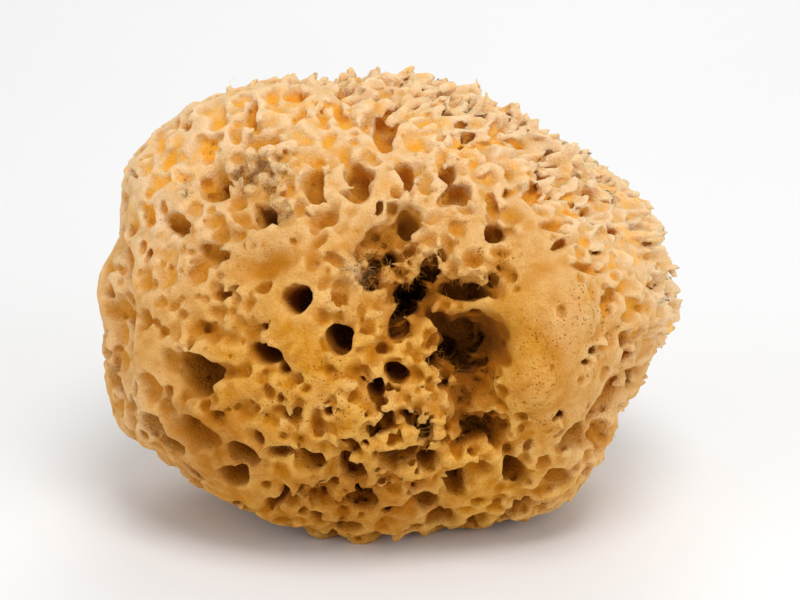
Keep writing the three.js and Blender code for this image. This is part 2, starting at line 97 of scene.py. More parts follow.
# The pores of the front: centre x and y as seen, half width, half height, lean, and depth
FRONT_PORES = [
    # Upper left, down to the basin
    (-34.3, 48.8, 1.9, 3.3, -15, 5), (-46, 40.3, 2.3, 3.2, -25, 5), (-57.3, 40.8, 2, 2.6, -20, 3),
    (-57.5, 32.3, 1.8, 2, 0, 3), (-42.5, 48.8, 1.7, 2.8, -15, 3), (-22.8, 48.5, 1.4, 2.8, -25, 4),
    (-12.8, 49.8, 1.3, 2.6, 0, 4), (-32.5, 42, 5, 2.7, 5, 6), (-43, 30, 4.2, 4.2, 0, 9),
    (-31.5, 23.5, 2.9, 3, 0, 15), (-53.5, 21.8, 2.7, 3.3, 25, 8), (-43.8, 22.5, 2.7, 1.6, -10, 3.5),
    (-44, 13.8, 3.9, 2.4, -12, 6), (-48, 8.5, 2.7, 2.2, 0, 4), (-42.5, 3.8, 2.2, 2, 0, 6),
    (-43.3, -1, 1.7, 1.5, 0, 3), (-63.5, 33.5, 1.6, 2.2, -10, 3),
    # Upper middle
    (-0.8, 47, 3.4, 5.8, -4, 8), (-19.3, 31.5, 3.1, 5, 0, 7), (-17.5, 28, 1.2, 1.6, 0, 14),
    (-7.3, 34, 3.6, 3.6, 0, 9), (-7.8, 29, 3.2, 2.6, 30, 6), (4.3, 34.3, 2.3, 3.6, 28, 9),
    (-16.3, 22.5, 3.8, 2.7, 35, 5), (5.8, 22.8, 3.4, 3.6, -20, 9), (-13.3, 40, 3.2, 2.1, 0, 2.5),
    (7, 41.5, 2, 1.5, 0, 3), (16.3, 41.5, 1.4, 1.6, 0, 3), (15.3, 34, 2.2, 2.6, -15, 9),
    (18, 29, 3.2, 3, 0, 8), (24.8, 37, 4.2, 1.5, 15, 3), (20, 42.5, 2.5, 1.2, 45, 4),
    (32.3, 40.3, 1.5, 1.2, 0, 3), (40.8, 39, 2.7, 2.2, 0, 3), (37.5, 28, 2.7, 1.9, 0, 4),
    (27, 18.8, 3, 2.8, 0, 9),
    # Upper right, among the points of the crown
    (47, 23.8, 2.7, 1.6, -25, 4), (51.8, 15.3, 1.8, 1.8, 0, 4), (44.3, 16.3, 4, 1.3, 25, 5),
    (41.3, 20.8, 2.3, 1.5, 0, 4), (50.5, 10, 4, 1.2, -5, 4), (59.5, 5, 2.7, 1.3, 10, 3),
    (55.3, 2.5, 1.7, 1.4, 0, 5),
    # The crevice and the cave
    (13.8, 13.5, 1.5, 2, 0, 12), (11, 9.5, 2.4, 3.8, -30, 16), (6, 3, 3.5, 3, 30, 18),
    (-5.5, 6.8, 2.5, 2.6, 0, 12), (2.8, -4.3, 3.2, 4, 0, 9), (20.5, 5.3, 7, 3.2, 5, 10),
    (27.3, 5.3, 2.2, 3.2, 0, 14), (20, -7, 6, 4.6, 0, 7), (16.8, -11.5, 3.4, 3.6, 0, 11),
    (20, -15.5, 3.2, 3.4, 0, 15), (11.8, -13.5, 1.9, 2.1, 0, 10), (25.8, -27, 1.3, 1.6, 0, 12),
    (21.8, -30.5, 3, 2.8, 0, 13), (28, -31.8, 2, 3.6, -10, 10),
    # The low dome
    (-23, 2.3, 3.8, 3.6, 0, 14), (-12.5, -8, 3.3, 4, 20, 14), (-31.3, -11.8, 4.7, 2.4, -15, 12),
    (-26.5, -15.5, 1.6, 2, 0, 7), (-31, -4.8, 1, 1.1, 0, 7), (-2.8, -20.8, 2.1, 3, -10, 12),
    (2.5, -17, 3, 2.7, 0, 11), (-8.3, -16.3, 2.4, 1.7, 0, 4), (-3.8, -11.5, 1.8, 2.4, -20, 3),
    (-15, -15.5, 1.8, 1.3, 0, 4), (-23.8, -28.3, 1.8, 1.6, 0, 4), (-17.5, -30.5, 1.9, 1.5, 0, 4),
    (-27.8, -25.8, 2, 1.5, 0, 3), (5.8, -28.8, 1.4, 1.6, 0, 11), (-0.5, -29.5, 1.8, 3, -30, 8),
    (-3.5, -32.8, 1.3, 1.1, 0, 7),
    # Left side
    (-49, -16.8, 4.2, 6.4, 35, 11), (-41.5, -16.3, 3.5, 2.6, 0, 4), (-40.3, -7.3, 2, 1.7, 0, 3),
    (-47.3, -5.5, 3.2, 2.4, 0, 4), (-43.5, -27, 1.3, 1.1, 0, 5), (-59, -29, 2.4, 3.6, 35, 10),
    (-54.3, -34.5, 3.6, 2.3, -35, 12), (-47, -30.5, 5.8, 2.4, -38, 5), (-64, 9.5, 1.5, 6, 10, 4),
    (-60, -20, 2, 4.4, 25, 4), (-66.5, -6, 1.5, 2.2, 0, 3),
    # Along the bottom
    (-36.5, -36.5, 4.4, 2.9, -28, 10), (-38.8, -42, 4.6, 2.2, -15, 9), (-27, -36, 3.5, 1.9, 8, 12),
    (-32.5, -32.5, 1.1, 2.2, 25, 7), (-29, -48.8, 2.3, 2.3, 0, 8), (-25.8, -46.3, 1.5, 1.5, 0, 6),
    (-19.5, -38.3, 4, 2.5, -30, 8), (-8.8, -41, 4.3, 2.6, -25, 10), (-6.8, -49, 4.3, 2.5, -5, 11),
    (0.5, -38, 2.8, 2.3, 0, 11), (4.8, -37, 3.8, 2.2, 20, 8), (9.8, -38.3, 2.5, 2.5, 0, 13),
    (9.3, -48.5, 3.5, 2.7, 0, 7), (17.3, -44, 3, 3.5, 0, 8), (-9.8, -34.8, 2.8, 1, -35, 6),
    (-13.8, -44, 1.5, 1.2, 0, 6), (-18, -52, 1.8, 1.1, 0, 5),
    # Lower right
    (32.3, -41.5, 4.3, 3, -30, 9), (42.5, -42.3, 3.2, 2.3, 15, 6), (46.3, -31, 3, 4.2, -15, 8),
    (53, -22.5, 2, 6.5, -36, 6), (42.8, -26.8, 1, 1, 0, 8), (51.5, -10.5, 1.2, 1.3, 0, 8),
    (49.8, -13.5, 1.2, 1, 0, 6), (59.3, -8, 2.2, 2.3, 0, 6),
]
# Finer hollows of the cave and the crevice, in the same way
CAVE_PORES = [
    (21.4, -7.3, 7.2, 3.9, 0, 6), (19, -15, 3.2, 5.2, 12, 13), (19.5, -24, 3.6, 3.6, 0, 6),
    (20.1, -30.1, 2.4, 3, 0, 13), (26, -27, 1.3, 1.4, 0, 12), (29.1, -29.6, 1.1, 1.6, 0, 10),
    (9.5, 8, 3, 6, -30, 12), (4, 0, 3.2, 3.6, 0, 12), (13.5, -4, 2.6, 3.2, 0, 8), (15, -21, 2.2, 2.4, 0, 7),
    (-4.5, 9.5, 3.2, 2.4, 20, 6), (1, 12.5, 2.4, 2.2, 0, 7),
]
MOST_STRETCH = 2  # how much longer than it looks a pore near the outline may be

# The pores of the rest, by the solid's rule
PORE_SPACING = 9.7
PORE_STRAY = 0.3  # of the spacing
PORE_HALF_WIDTHS = (2.2, 4.4)
PORE_ASPECTS = (1, 1.5)
PORE_DEPTHS = (5, 9)
FRONT_LIMIT = 26  # they keep off the front beyond this z, where its own pores are
WALL = 1.1  # least wall between a spread pore and one before it
LEAST_SIZE = 0.6  # of the least half width: a smaller pore is left out
MEAN_RADIUS = 58
BASE_PLAIN = 13  # no pores open this near the middle of the base
BASE_DEPTH = 0.6  # how much of their depth the pores of the base have

# The crown, where the sponge grew freely, has tall points. It is a cap of the body about this direction.
CROWN_POLE = np.array([0.62, 0.62, -0.48]) / math.sqrt(0.62**2 + 0.62**2 + 0.48**2)
CROWN_EDGES = (80, 48)  # from the pole: the first points, and full height
POINT_HEIGHTS = (1.3, 4.5)

# The grid of distances
VOXEL = 0.5
GRID_LOW = np.array([-77.0, -62.0, -2.2])
GRID_HIGH = np.array([77.0, 63.0, 114.0])
SEED = 7

TILT = math.radians(90 - VIEW_TILT)
TO_PART = np.array([
    [1, 0, 0],
    [0, math.cos(TILT), -math.sin(TILT)],
    [0, math.sin(TILT), math.cos(TILT)],
])
DOWN = np.array([0, 0, -1.0]) @ TO_PART  # in the front view's axes


# The same numbers from 0 to 1 as the solid is made with.
def chance(index, use):
    x = np.sin(np.asarray(index, dtype=float) * 127.1 + use * 311.7) * 43758.5453
    return x - np.floor(x)


def lerp(low, high, share):
    return low + (high - low) * share


def smoothstep(x, low, high):
    share = np.clip((x - low) / (high - low), 0, 1)
    return share * share * (3 - 2 * share)


def unit(v):
    return v / np.linalg.norm(v, axis=-1, keepdims=True)


def outline_table():
    angles = np.arctan2(OUTLINE[:, 1], OUTLINE[:, 0])
    order = np.argsort(angles)
    return angles[order], np.hypot(OUTLINE[:, 0], OUTLINE[:, 1])[order]


OUTLINE_ANGLES, OUTLINE_RADII = outline_table()


# How far the outline is from the middle at an angle.
def outline_radius(angle):
    return np.interp(angle, OUTLINE_ANGLES, OUTLINE_RADII, period=2 * math.pi)


# A bump of height 1 over an ellipse, flat at its rim.
def bump(x, y, centre_x, centre_y, half_width, half_height, lean):
    c = math.cos(math.radians(lean))
    s = math.sin(math.radians(lean))
    dx = x - centre_x
    dy = y - centre_y
    far = ((c * dx + s * dy) / half_width) ** 2 + ((c * dy - s * dx) / half_height) ** 2
    return np.maximum(1 - far, 0) ** 2


# How far the body reaches from its middle in the direction (x, y, z) of the view's axes, without its relief.
def plain_radius(x, y, z):
    across = np.hypot(x, y) / outline_radius(np.arctan2(y, x))
    along = np.abs(z) / np.where(z > 0, FRONT_REACH, BACK_REACH)
    return (across**FULLNESS + along**FULLNESS) ** (-1 / FULLNESS)


# How far it reaches with its relief and waves.
def body_radius(x, y, z):
    radius = plain_radius(x, y, z)
    at_x = x * radius
    at_y = y * radius
    relief = np.zeros_like(radius)
    for *place, height in RELIEF + FINE_RELIEF:
        relief += height * bump(at_x, at_y, *place)
    radius += np.where(z > 0, relief, 0)
    for fx, fy, fz, start, height in WAVES:
        radius += height * np.sin(fx * x + fy * y + fz * z + start)
    return radius


def base_radius(d):
    down = d @ DOWN
    return np.where(down > 1e-6, MIDDLE[2] / np.maximum(down, 1e-6), np.inf)


def surface_point(d):
    d = unit(d)
    radius = np.minimum(body_radius(d[..., 0], d[..., 1], d[..., 2]), base_radius(d))
    return d * radius[..., None]


SEEN_HALVINGS = 26


# The points of the body that are seen at places (x, y) of the front view.
def seen_at(places):
    aim = np.column_stack([places, np.zeros(len(places))]) - EYE

    def inside(share):
        p = EYE + aim * share[:, None]
        radius = np.linalg.norm(p, axis=1)
        return radius < body_radius(*(p / radius[:, None]).T)

    outer = np.full(len(places), 1 - 1.5 * FRONT_REACH / EYE[2])
    inner = np.ones(len(places))
    missed = ~inside(inner)
    for _ in range(SEEN_HALVINGS):
        middle = (outer + inner) / 2
        within = inside(middle)
        inner = np.where(within, middle, inner)
        outer = np.where(within, outer, middle)
    found = EYE + aim * outer[:, None]
    beside = np.column_stack([places, np.zeros(len(places))])
    return np.where(missed[:, None], surface_point(beside + 1e-9), found)


def crown_share(d):
    edge, full = (math.cos(math.radians(angle)) for angle in CROWN_EDGES)
    return smoothstep(d @ CROWN_POLE, edge, full)


class Pore:
    def __init__(self, mouth, half_width, half_height, depth):
        self.mouth = mouth
        self.half_width = half_width
        self.half_height = half_height
        self.depth = depth
        self.size = math.sqrt(np.linalg.norm(half_width) * np.linalg.norm(half_height))


def clamp_length(v, low, high):
    length = np.linalg.norm(v)
    return v * min(max(length, low), high) / length


def front_pores(rows):
    pores = np.array(rows, dtype=float)
    centre = pores[:, :2]
    axes = []
    for half, quarter in ((pores[:, 2], 0), (pores[:, 3], 90)):
        angle = np.radians(pores[:, 4] + quarter)
        step = np.column_stack([half * np.cos(angle), half * np.sin(angle)])
        axes.append((seen_at(centre + step) - seen_at(centre - step)) / 2)
    found = []
    for mouth, first, second, row in zip(seen_at(centre), *axes, pores):
        first = clamp_length(first, row[2], row[2] * MOST_STRETCH)
        second = clamp_length(second, row[3], row[3] * MOST_STRETCH)
        found.append(Pore(mouth, first, second, row[5]))
    return found


# Directions spread evenly over the sphere, for a spacing in millimetres on the body.
def even_directions(spacing):
    count = round(4 * math.pi * MEAN_RADIUS**2 / (0.87 * spacing**2))
    i = np.arange(count)
    height = 1 - (2 * i + 1) / count
    ring = np.sqrt(1 - height**2)
    turn = i * math.pi * (3 - math.sqrt(5))
    return np.stack([ring * np.cos(turn), height, ring * np.sin(turn)], axis=1)


# Those directions with their numbers, each strayed by up to a share of the spacing.
def strayed_directions(spacing, share, use):
    for i, even in enumerate(even_directions(spacing)):
        aside, _ = cross_axes(even, 2 * math.pi * chance(i, use))
        yield i, unit(even + aside * spacing * share * chance(i, use + 1) / MEAN_RADIUS)


# Two directions across d, turned by an angle.
def cross_axes(d, angle):
    first = np.cross([0, 0, 1.0], d)
    if np.linalg.norm(first) < 0.1:
        first = np.cross([1.0, 0, 0], d)
    first = unit(first)
    second = np.cross(d, first)
    first = first * math.cos(angle) + second * math.sin(angle)
    return first, np.cross(d, first)


def spread_pores(pores):
    base_middle = DOWN * MIDDLE[2]
    for i, even in enumerate(even_directions(PORE_SPACING)):
        first, second = cross_axes(even, 2 * math.pi * chance(i, 1))
        stray = PORE_SPACING * PORE_STRAY * chance(i, 2) / np.linalg.norm(surface_point(even))
        d = unit(even + first * stray)
        mouth = surface_point(d)
        if mouth[2] > FRONT_LIMIT and crown_share(d) < 0.25:
            continue
        on_base = base_radius(d) <= body_radius(d[:1], d[1:2], d[2:])[0]
        if on_base and np.linalg.norm(mouth - base_middle) < BASE_PLAIN:
            continue
        aspect = math.sqrt(lerp(*PORE_ASPECTS, chance(i, 3)))
        size = lerp(*PORE_HALF_WIDTHS, chance(i, 4))
        for other in pores:
            size = min(size, np.linalg.norm(mouth - other.mouth) - other.size - WALL)
        if size < PORE_HALF_WIDTHS[0] * LEAST_SIZE:
            continue
        depth = lerp(*PORE_DEPTHS, chance(i, 5)) * (BASE_DEPTH if on_base else 1)
        pores.append(Pore(mouth, first * size * aspect, second * size / aspect, depth))
    return pores


# The distance grid: negative inside the skeleton, in millimetres, along the part's own axes.
GRID_AXES = [np.arange(low, high, VOXEL, dtype=np.float32) for low, high in zip(GRID_LOW, GRID_HIGH)]
GRID_SHAPE = tuple(len(axis) for axis in GRID_AXES)


# How much each neighbour on a coarse axis counts at a place between them, by a cubic B-spline or
# straight lines.
def taps(part, cubic):
    if cubic:
        return [
            (-1, (1 - part) ** 3 / 6),
            (0, (3 * part**3 - 6 * part**2 + 4) / 6),
            (1, (-3 * part**3 + 3 * part**2 + 3 * part + 1) / 6),
            (2, part**3 / 6),
        ]
    return [(0, 1 - part), (1, part)]


# Values on a coarse lattice, spread over the whole grid.
def refine(lattice, spacing, cubic=True):
    result = lattice.astype(np.float32)
    for axis, coordinates in enumerate(GRID_AXES):
        places = (coordinates - coordinates[0]) / spacing + (1 if cubic else 0)
        base = np.floor(places).astype(int)
        shape = [1, 1, 1]
        shape[axis] = len(coordinates)
        total = 0
        for step, share in taps(places - base, cubic):
            values = np.take(result, np.clip(base + step, 0, result.shape[axis] - 1), axis=axis)
            values *= share.astype(np.float32).reshape(shape)
            total = total + values
        result = total
    return result


NOISE_GAIN = 2.1  # makes up for what the spline smooths away


# Smooth random bumps of a spacing, with a spread of about 1.
def noise(random, spacing):
    shape = [int((axis[-1] - axis[0]) / spacing) + 5 for axis in GRID_AXES]
    return refine(random.standard_normal(shape).astype(np.float32) * NOISE_GAIN, spacing)


# Bumps of several heights and spacings together.
def layers(random, rows):
    return sum(height * noise(random, spacing) for height, spacing in rows)


# For each place of the grid, how far it lies outside the body with its relief and without it, how high the
# body's points are there, and how ragged it is.
def envelope():
    step = 2 * VOXEL
    coarse = [axis[0] + step * np.arange(int((axis[-1] - axis[0]) / step) + 2) for axis in GRID_AXES]
    x, y, z = np.meshgrid(*coarse, indexing="ij")
    place = np.stack([x, y, z], axis=-1) - MIDDLE
    place = place @ TO_PART
    far = np.linalg.norm(place, axis=-1) + 1e-6
    d = place / far[..., None]
    lift = lerp(*POINT_HEIGHTS, crown_share(d))
    way = (d[..., 0], d[..., 1], d[..., 2])
    ragged = spot_share(place.reshape(-1, 3), RAGGED_PLACES).reshape(far.shape)
    grids = (far - body_radius(*way), far - plain_radius(*way), lift, ragged)
    return [refine(grid, step, cubic=False) for grid in grids]


def smooth_max(a, b, blend):
    gap = np.maximum(blend - np.abs(a - b), 0) / blend
    return np.maximum(a, b) + gap * gap * blend / 4


# The part of the grid within reach of a place, and the coordinates there.
def local(centre, reach):
    low = np.floor((centre - reach - GRID_LOW) / VOXEL).astype(int)
    high = np.ceil((centre + reach - GRID_LOW) / VOXEL).astype(int) + 1
    where = tuple(slice(max(a, 0), max(min(b, n), 0)) for a, b, n in zip(low, high, GRID_SHAPE))
    return where, [axis[part] for axis, part in zip(GRID_AXES, where)]


def smooth_min(a, b, blend):
    return -smooth_max(-a, -b, blend)


# The places of a box as coordinates along three axes from an origin, pushed about by the warp.
def along_axes(where, coordinates, origin, axes, warp=None):
    steps = []
    for axis, (values, middle) in enumerate(zip(coordinates, origin)):
        shape = [1, 1, 1]
        shape[axis] = len(values)
        step = (values - np.float32(middle)).reshape(shape)
        steps.append(step if warp is None else step + warp[axis][where])
    return [sum(np.float32(part) * step for part, step in zip(row, steps)) for row in axes]


FLARE_REACH = 3.5  # a pore stops widening this far above its mouth
SHALLOW = 3.5  # a pore no deeper than this is a soft dent
DEEP = 6.5  # and one at least this deep has a clear edge


# Opens a pore: a channel that runs from its mouth towards the body's middle and widens out to the open by the
# flare. The blend rounds its edge, and the swell is how far it is from an ellipse.
def carve_pore(field, pore, warp, index, flare, blend, swell=0.1):
    mouth = TO_PART @ pore.mouth + MIDDLE
    inward = -unit(TO_PART @ pore.mouth)
    own = [TO_PART @ pore.half_width, TO_PART @ pore.half_height, inward]
    to_own = np.linalg.inv(np.stack(own, axis=1))
    soft = float(np.clip((DEEP - pore.depth) / (DEEP - SHALLOW), 0, 1))
    wide = max(np.linalg.norm(pore.half_width), np.linalg.norm(pore.half_height))
    reach = max(wide * 2.4, pore.depth * 0.65 + 1) + 3
    where, coordinates = local(mouth + inward * pore.depth * 0.35, reach)
    a, b, depth = along_axes(where, coordinates, mouth, to_own, warp)
    turn = np.arctan2(b, a)
    lobes = np.sin(2 * turn + 6 * chance(index, 11)) + np.sin(3 * turn + 6 * chance(index, 12))
    inside = np.clip(depth / pore.depth, 0, 1)
    above = np.clip(-depth, 0, FLARE_REACH)
    width = 1 - (0.3 + 0.25 * soft) * inside**1.6 + (flare + 0.5 * soft) * above / pore.size
    wall = (np.hypot(a, b) * (1 + swell * lobes) - width) * pore.size
    channel = smooth_max(wall, depth - pore.depth, 2.5 + soft)
    field[where] = smooth_max(field[where], -channel, blend + 0.9 * soft)


# Opens a small round hole in what is already there.
def carve_hole(field, centre, stretch, radius, blend, warp=None):
    where, coordinates = local(centre, radius * 1.2 + blend + 1)
    dx, dy, dz = along_axes(where, coordinates, centre, np.diag(stretch), warp)
    hole = np.sqrt(dx * dx + dy * dy + dz * dz) - radius
    field[where] = smooth_max(field[where], -hole, blend)


# The crown's folds run this way over the body, in the front view's axes.
FOLD_WAY = np.array([0.85, 0.1, -0.5])


# The way along the folds at a place, turned aside by an angle.
def fold_way(d, angle):
    along = unit(FOLD_WAY - d * (FOLD_WAY @ d))
    return along * math.cos(angle) + np.cross(d, along) * math.sin(angle)


FRILL_SPACING = 5.8
FRILL_SIZES = (1.3, 2.1)
FRILL_ASPECTS = (1.2, 2.2)
FRILL_DEPTHS = (2.5, 5)
FRILL_TURN = math.radians(35)


# The long hollows between the crown's petals.
def frill_pores():
    pores = []
    for i, d in strayed_directions(FRILL_SPACING, 0.45, 21):
        if crown_share(d) < 0.1 + 0.2 * chance(i, 23) or base_radius(d) < 70:
            continue
        along = fold_way(d, lerp(-FRILL_TURN, FRILL_TURN, chance(i, 27)))
        size = lerp(*FRILL_SIZES, chance(i, 24))
        stretch = math.sqrt(lerp(*FRILL_ASPECTS, chance(i, 25)))
        across = np.cross(d, along)
        depth = lerp(*FRILL_DEPTHS, chance(i, 26))
        pores.append(Pore(surface_point(d), along * size * stretch, across * size / stretch, depth))
    return pores


DENT_SPACING = 5.8
DENT_RADII = (1.5, 3.3)
DENT_DEPTHS = (1.2, 3.0)
# Places of the front view: centre x and y, half width, half height, and lean
SMOOTH_PLACES = [
    (38, -4, 13, 31, 8), (-29, 11, 11, 6, 22), (-22, -2, 9, 14, 0), (-43, -35, 18, 9, -35),
    (-58, -16, 7, 12, 0), (-36, -41, 12, 8, -20),
]


# Shallow dents all over, but for the smooth places of the front.
def carve_dents(field, warp, random):
    for _, d in strayed_directions(DENT_SPACING, 0.5, 41):
        mouth = surface_point(d)
        if mouth[2] > 0 and any(bump(mouth[0], mouth[1], *place) > 0.08 for place in SMOOTH_PLACES):
            continue
        radius = random.uniform(*DENT_RADII)
        depth = random.uniform(*DENT_DEPTHS)
        ball = (radius**2 + depth**2) / (2 * depth)
        raised = lerp(*POINT_HEIGHTS, crown_share(d)) - BODY_SINK
        centre = TO_PART @ (mouth + d * (raised - depth + ball)) + MIDDLE
        carve_hole(field, centre, random.uniform(0.8, 1.25, 3), ball, 0.8, warp)


# A running mean over a cube, of a half width in voxels.
def box_mean(values, half):
    result = values
    for axis in range(3):
        total = np.cumsum(result, axis=axis, dtype=np.float32)
        count = result.shape[axis]
        high = np.minimum(np.arange(count) + half, count - 1)
        low = np.arange(count) - half - 1
        upper = np.take(total, high, axis=axis)
        lower = np.take(total, np.maximum(low, 0), axis=axis)
        shape = [1, 1, 1]
        shape[axis] = count
        lower = lower * (low >= 0).reshape(shape)
        result = (upper - lower) / (2 * half + 1)
    return result


# More places of the front view, in the same way
RAGGED_PLACES = [
    (21, -17, 10, 18, 0),  # the cave
    (6, 6, 7, 17, -25),  # the crevice
    (20, 7, 11, 5, 0),  # the slit at its right
    (-2, 8, 9, 6, 0),
    (9, -30, 5, 6, 0),
]
DIRTY_PLACES = [(-31, 34, 11, 8, 0), (-50.5, 30, 4, 4, 0), (-27, 24.5, 5, 4.5, 0), (-8, 9, 6, 5, 0)]
# Painted shade: the lower left and the bottom of the front, darkened to old amber
PAINTED_SHADE_FOOT_PLACES = [(-44, -34, 22, 17, -35), (-10, -48, 34, 13, 0)]
HOLED_PLACES = [(-3, -26, 18, 14, 0), (-25, -26, 9, 8, 0), (-8, -45, 24, 8, 0), (44, -30, 5, 6, 0)]
# Painted shade: places of the front view where brown pinhole dots lie thick
PINHOLE_SHADE_PLACES = [
    (-13, -22, 17, 13, 0), (49, -3, 9, 14, 0), (-25, -25, 8, 7, 0), (-4, 12, 8, 7, 0), (36, -18, 8, 22, 0),
    (27, 12, 9, 6, 0),
]


# How far places, in the front view's axes, lie within spots as seen there: 0 outside, 1 at a spot's centre.
def spot_share(places, spots):
    seen = EYE[:2] + (places[:, :2] - EYE[:2]) * EYE[2] / (EYE[2] - places[:, 2:])
    share = np.zeros(len(places))
    for spot in spots:
        share = np.maximum(share, bump(seen[:, 0], seen[:, 1], *spot))
    return np.where(places[:, 2] > 0, share, 0)


def to_view(places):
    return (places - MIDDLE) @ TO_PART


RIDGE_SHARE = 0.14  # of the surface counts as ridges
RIDGE_FOOT = 3  # and none of it below this height


# The skeleton's surface as voxels: their places, the way out of each, and how full the space near each is.
class Surface:
    def __init__(self, field):
        solid = np.clip(0.5 - field / VOXEL, 0, 1)
        mean = box_mean(solid, 3)
        near = np.flatnonzero(np.abs(field) < 0.4)
        steps = np.stack(np.unravel_index(near, GRID_SHAPE), axis=1)
        inner = np.all((steps > 2) & (steps < np.array(GRID_SHAPE) - 3), axis=1)
        self.steps = steps[inner]
        self.places = self.steps * VOXEL + GRID_LOW
        self.filled = mean[tuple(self.steps.T)]
        self.mean = mean

    # Voxels on ridges: the share of them with the least filled round them.
    def ridges(self, share):
        ridge = self.filled < np.quantile(self.filled, share)
        return np.flatnonzero(ridge & (self.places[:, 2] > RIDGE_FOOT))

    def within(self, chosen, spots):
        return spot_share(to_view(self.places[chosen]), spots)

    # Voxels of the spots, more of them near a spot's centre.
    def drawn_from(self, spots, random):
        limit = random.uniform(0, 0.7, len(self.places))
        return np.flatnonzero(self.within(slice(None), spots) > limit)

    def outward(self, chosen):
        at = self.steps[chosen]
        slope = []
        for axis in range(3):
            step = np.zeros(3, dtype=int)
            step[axis] = 2
            slope.append(self.mean[tuple((at - step).T)] - self.mean[tuple((at + step).T)])
        return unit(np.stack(slope, axis=1) + 1e-6)


RAGGED_HOLES = 260
RAGGED_HOLE_RADII = (0.7, 2.2)
PINHOLES = 150
PINHOLE_RADII = (0.45, 1.35)


def carve_ragged_holes(field, surface, warp, random):
    ragged = surface.drawn_from(RAGGED_PLACES, random)
    for voxel in random.choice(ragged, RAGGED_HOLES, replace=False):
        radius = lerp(*RAGGED_HOLE_RADII, random.random() ** 2)
        carve_hole(field, surface.places[voxel], random.uniform(0.7, 1.3, 3), radius, 0.5, warp)


# Small round holes that go in deep.
def carve_pinholes(field, surface, random):
    chosen = random.choice(surface.drawn_from(HOLED_PLACES, random), PINHOLES, replace=False)
    for voxel, out in zip(chosen, surface.outward(chosen)):
        radius = lerp(*PINHOLE_RADII, random.random() ** 2)
        for step in (0, 1.2, 2.4):
            carve_hole(field, surface.places[voxel] - out * radius * step, np.ones(3), radius, 0.35)


STRANDS = 110
STRAND_TRIES = 60000
STRAND_LENGTHS = (2.5, 6)
STRAND_RADII = (0.26, 0.45)


# The distance from places of a box to a stretch between two points.
def stretch_distance(coordinates, first, second):
    x, y, z = np.meshgrid(*coordinates, indexing="ij", sparse=True)
    way = second - first
    share = ((x - first[0]) * way[0] + (y - first[1]) * way[1] + (z - first[2]) * way[2]) / (way @ way)
    share = np.clip(share, 0, 1)
    gaps = [axis - first[i] - share * way[i] for i, axis in enumerate((x, y, z))]
    return np.sqrt(sum(gap * gap for gap in gaps))


# Thin strands across the holes of the ragged places.
def add_strands(field, surface, random):
    ragged = np.flatnonzero(surface.within(slice(None), RAGGED_PLACES) > 0.05)
    pairs = random.choice(ragged, (STRAND_TRIES, 2))
    first, second = surface.places[pairs[:, 0]], surface.places[pairs[:, 1]]
    length = np.linalg.norm(second - first, axis=1)
    open_way = (length > STRAND_LENGTHS[0]) & (length < STRAND_LENGTHS[1])
    for share in (0.25, 0.5, 0.75):
        steps = ((lerp(first, second, share) - GRID_LOW) / VOXEL).astype(int)
        open_way &= field[tuple(steps.T)] > 0.4
    for index in np.flatnonzero(open_way)[:STRANDS]:
        middle = (first[index] + second[index]) / 2 + random.normal(0, 0.1, 3) * length[index]
        radius = random.uniform(*STRAND_RADII)
        for a, b in ((first[index], middle), (middle, second[index])):
            where, coordinates = local((a + b) / 2, np.linalg.norm(b - a) / 2 + radius + 1)
            strand = stretch_distance(coordinates, a, b) - radius
            field[where] = smooth_min(field[where], strand.astype(np.float32), 0.8)


LUMPS = 70
LUMP_RADII = (0.5, 1.5)
LUMP_DEPTH = 7  # none lie deeper than this


# Crumbs of dirt in the basin.
def add_lumps(field, surface, depth, random):
    shallow = depth[tuple(surface.steps.T)] < LUMP_DEPTH
    dirty = np.flatnonzero(shallow & (surface.within(slice(None), DIRTY_PLACES) > 0.15))
    for voxel in random.choice(dirty, LUMPS, replace=False):
        radius = lerp(*LUMP_RADII, random.random() ** 2)
        centre = surface.places[voxel]
        where, coordinates = local(centre, radius * 1.4 + 1.5)
        dx, dy, dz = along_axes(where, coordinates, centre, np.diag(random.uniform(0.75, 1.25, 3)))
        lump = np.sqrt(dx * dx + dy * dy + dz * dz) - radius
        field[where] = smooth_min(field[where], lump, 0.5)


BODY_SINK = 0.6  # how far the tops of the walls stay below the height of the points
CROWN_LIFT = 0.35  # how much of the points' height the crown's walls have, under its petals
SMALL_HOLES = 3600
SMALL_HOLE_RADII = (0.5, 1.5)
SMOOTH_HOLES = 0.12  # how many of those that would fall on the smooth places do so
CROWN_HOLES = 0.25  # and on the crown
RELIEF_DEPTH = 0.6  # how much of the broad hollows' depth counts as depth in the sponge
PHOTO_WARP = 0.32  # how much of the warp the pores of the front take


def carve_small_holes(field, random):
    surface = Surface(field)
    smooth = surface.within(slice(None), SMOOTH_PLACES) > 0.15
    crown = crown_share(unit(to_view(surface.places))) > 0.4
    limit = np.where(smooth, SMOOTH_HOLES, np.where(crown, CROWN_HOLES, 1))
    allowed = np.flatnonzero(random.random(len(smooth)) < limit)
    for voxel in random.choice(allowed, SMALL_HOLES, replace=False):
        radius = lerp(*SMALL_HOLE_RADII, random.random() ** 3)
        carve_hole(field, surface.places[voxel], random.uniform(0.75, 1.2, 3), radius, 0.4)


RUFFLE_TURNS = (1.9, 1.5)  # how fast a tongue's waves and notches run across it, in radians a millimetre


